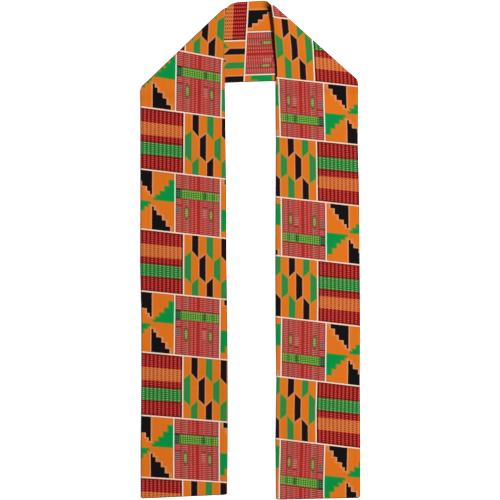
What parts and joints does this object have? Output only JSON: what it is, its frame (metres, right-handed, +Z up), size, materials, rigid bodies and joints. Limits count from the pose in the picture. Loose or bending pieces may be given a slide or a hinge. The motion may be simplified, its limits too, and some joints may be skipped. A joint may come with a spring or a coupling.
{
  "type": "kente scarf",
  "caption": "Long printed cotton band of two layers, laid flat with its neck stretch folded under two side-by-side panels.",
  "frame": {"origin": "centre of the footprint, on the surface that the scarf lies on", "axes": "+X across both panels to the right, +Y along the panels from their ends to the neck, +Z up off the surface"},
  "size_m": [0.3889, 0.8804, 0.0053],
  "materials": {
    "printed_cotton_face": "matt printed plain-weave cotton",
    "printed_cotton_back": "matt printed plain-weave cotton"
  },
  "bodies": {
    "root": {"face_cloth": "printed_cotton_face", "back_cloth": "printed_cotton_back"}
  },
  "joints": []
}
